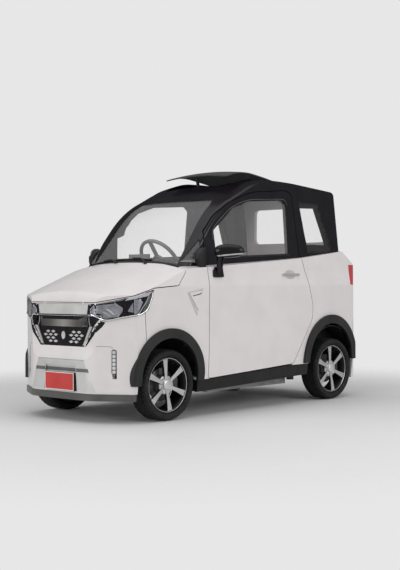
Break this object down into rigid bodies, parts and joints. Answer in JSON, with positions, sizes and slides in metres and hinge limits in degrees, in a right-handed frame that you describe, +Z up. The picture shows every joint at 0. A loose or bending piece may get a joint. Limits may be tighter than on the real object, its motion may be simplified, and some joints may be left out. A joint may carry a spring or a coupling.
{
  "type": "electric city car",
  "caption": "Small boxy three-seat electric city car with two doors, clamshell bonnet, tailgate, tilting sunroof, steered front wheels and a central driver's seat.",
  "frame": {"origin": "on the ground under the middle of the car", "axes": "front is -Y, the car's left side is +X, +Z up"},
  "size_m": [1.58, 2.708, 1.786],
  "materials": {
    "paint": "gloss white paint",
    "black_gloss": "gloss black",
    "trim_grey": "grained dark grey plastic",
    "trim_black": "grained black plastic",
    "silver": "satin silver paint",
    "chrome": "polished",
    "glass_clear": "clear",
    "glass_tint": "dark tint",
    "lamp_clear": "clear lens",
    "lamp_housing": "grey reflector",
    "lamp_red": "red lens",
    "plate": "blank plate",
    "tyre": "rubber",
    "alloy": "silver alloy",
    "steel": "painted steel",
    "chassis": "black underbody paint",
    "cabin_plastic": "soft grained plastic",
    "seat": "woven seat fabric",
    "battery": "cast case"
  },
  "bodies": {
    "body": {"floor_pan": "chassis", "wheel_houses": "trim_black", "sills": "trim_black", "front_fenders": "paint", "front_bumper": "paint", "grille": "black_gloss", "grille_cells": "chrome", "grille_bars": "silver", "grille_band": "silver", "lower_insert": "silver", "bumper_lip": "trim_grey", "number_plate": "plate", "headlamp_housings": "lamp_housing", "headlamp_lenses": "lamp_clear", "daytime_lamps": "lamp_clear", "fender_vents": "silver", "arch_trims": "trim_grey", "cowl": "trim_black", "windshield": "glass_clear", "cabin_frame": "black_gloss", "side_glass": "glass_clear", "rear_quarters": "paint", "rear_bumper": "paint", "tail_lamps": "lamp_red", "dashboard": "cabin_plastic", "driver_seat": "seat", "rear_bench": "seat", "battery_pack": "battery", "front_suspension": "steel", "rear_axle": "steel"},
    "door_left": {"door_left_panel": "paint", "door_left_frame": "black_gloss", "door_left_glass": "glass_clear", "door_left_handle": "chrome", "door_left_mirror": "black_gloss"},
    "door_right": {"door_right_panel": "paint", "door_right_frame": "black_gloss", "door_right_glass": "glass_clear", "door_right_handle": "chrome", "door_right_mirror": "black_gloss"},
    "hood": {"hood": "paint"},
    "tailgate": {"tailgate": "paint", "tailgate_glass": "glass_clear"},
    "sunroof": {"sunroof_glass": "glass_tint", "sunroof_latch": "trim_black"},
    "steering_wheel": {"steering_wheel": "cabin_plastic"},
    "steering_rack": {"steering_rack": "steel"},
    "knuckle_left": {"knuckle_left": "steel"},
    "knuckle_right": {"knuckle_right": "steel"},
    "wheel_fl": {"tyre_fl": "tyre", "wheel_fl": "alloy"},
    "wheel_fr": {"tyre_fr": "tyre", "wheel_fr": "alloy"},
    "wheel_rl": {"tyre_rl": "tyre", "wheel_rl": "alloy"},
    "wheel_rr": {"tyre_rr": "tyre", "wheel_rr": "alloy"}
  },
  "joints": [
    {"name": "steer_left", "type": "hinge", "parent": "body", "child": "knuckle_left", "pos_m": [0.44, -0.88, 0.185], "axis": [-0.1899, 0, 0.9818], "range_deg": [-30, 30]},
    {"name": "steer_right", "type": "hinge", "parent": "body", "child": "knuckle_right", "pos_m": [-0.44, -0.88, 0.185], "axis": [0.1899, 0, 0.9818], "range_deg": [-30, 30]},
    {"name": "steering_wheel_turn", "type": "hinge", "parent": "body", "child": "steering_wheel", "pos_m": [0, -0.385, 1.095], "axis": [0, 0.8192, 0.5736], "range_deg": [-360, 360]},
    {"name": "rack_slide", "type": "slide", "parent": "body", "child": "steering_rack", "axis": [1, 0, 0], "range_m": [-0.056, 0.056]},
    {"name": "wheel_fl_spin", "type": "hinge", "parent": "knuckle_left", "child": "wheel_fl", "pos_m": [0.51, -0.88, 0.24], "axis": [1, 0, 0], "continuous": true},
    {"name": "wheel_fr_spin", "type": "hinge", "parent": "knuckle_right", "child": "wheel_fr", "pos_m": [-0.51, -0.88, 0.24], "axis": [1, 0, 0], "continuous": true},
    {"name": "wheel_rl_spin", "type": "hinge", "parent": "body", "child": "wheel_rl", "pos_m": [0.51, 0.97, 0.24], "axis": [1, 0, 0], "continuous": true},
    {"name": "wheel_rr_spin", "type": "hinge", "parent": "body", "child": "wheel_rr", "pos_m": [-0.51, 0.97, 0.24], "axis": [1, 0, 0], "continuous": true},
    {"name": "door_left_open", "type": "hinge", "parent": "body", "child": "door_left", "pos_m": [0.603, -0.488, 0.6], "axis": [0, 0, -1], "range_deg": [0, 65]},
    {"name": "door_right_open", "type": "hinge", "parent": "body", "child": "door_right", "pos_m": [-0.603, -0.488, 0.6], "axis": [0, 0, 1], "range_deg": [0, 65]},
    {"name": "hood_open", "type": "hinge", "parent": "body", "child": "hood", "pos_m": [0, -0.7, 1.1], "axis": [-1, 0, 0], "range_deg": [0, 50]},
    {"name": "tailgate_open", "type": "hinge", "parent": "body", "child": "tailgate", "pos_m": [0, 1.04, 1.745], "axis": [1, 0, 0], "range_deg": [0, 75]},
    {"name": "sunroof_tilt", "type": "hinge", "parent": "body", "child": "sunroof", "pos_m": [0, 0.548, 1.727], "axis": [-1, 0, 0], "range_deg": [-9, 3]}
  ],
  "couplings": [
    {"joint": "steer_right", "follows": "steer_left", "ratio": 1},
    {"joint": "steering_wheel_turn", "follows": "steer_left", "ratio": 12},
    {"joint": "rack_slide", "follows": "steer_left", "m_per_rad": -0.105}
  ]
}
